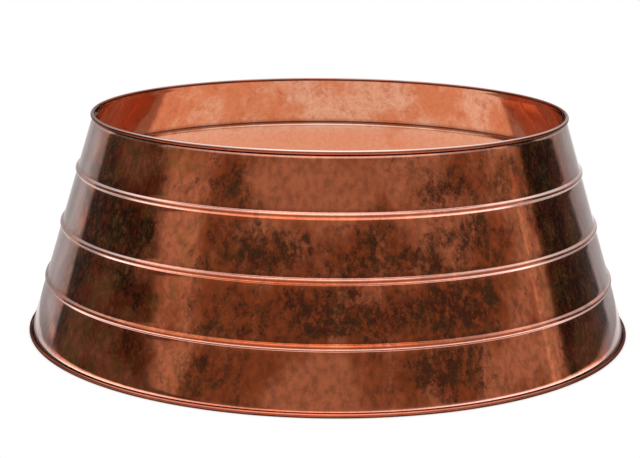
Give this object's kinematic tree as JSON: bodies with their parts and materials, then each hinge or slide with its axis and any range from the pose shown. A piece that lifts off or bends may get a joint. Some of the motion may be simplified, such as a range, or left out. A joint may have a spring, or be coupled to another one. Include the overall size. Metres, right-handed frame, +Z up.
{
  "type": "christmas tree collar",
  "caption": "Tapered sheet-metal collar with swaged beads and curled rims that hides a Christmas tree stand; two half shells lap and pull apart.",
  "frame": {"origin": "centre of the base ring, on the floor that the lower rim stands on", "axes": "+Z up along the collar's axis, X along the line through the two lap joints, -Y towards the front half"},
  "size_m": [0.7112, 0.7112, 0.256],
  "materials": {
    "copper_sheet": "antique copper finish on sheet steel, mottled satin",
    "rim_wire": "plain drawn steel wire"
  },
  "bodies": {
    "front_half": {"front_shell": "copper_sheet", "front_top_wire": "rim_wire", "front_base_wire": "rim_wire"},
    "rear_half": {"rear_shell": "copper_sheet", "rear_top_wire": "rim_wire", "rear_base_wire": "rim_wire"}
  },
  "joints": [
    {"name": "rear_half_pull", "type": "slide", "parent": "front_half", "child": "rear_half", "axis": [0, 1, 0], "range_m": [0, 0.25]}
  ]
}
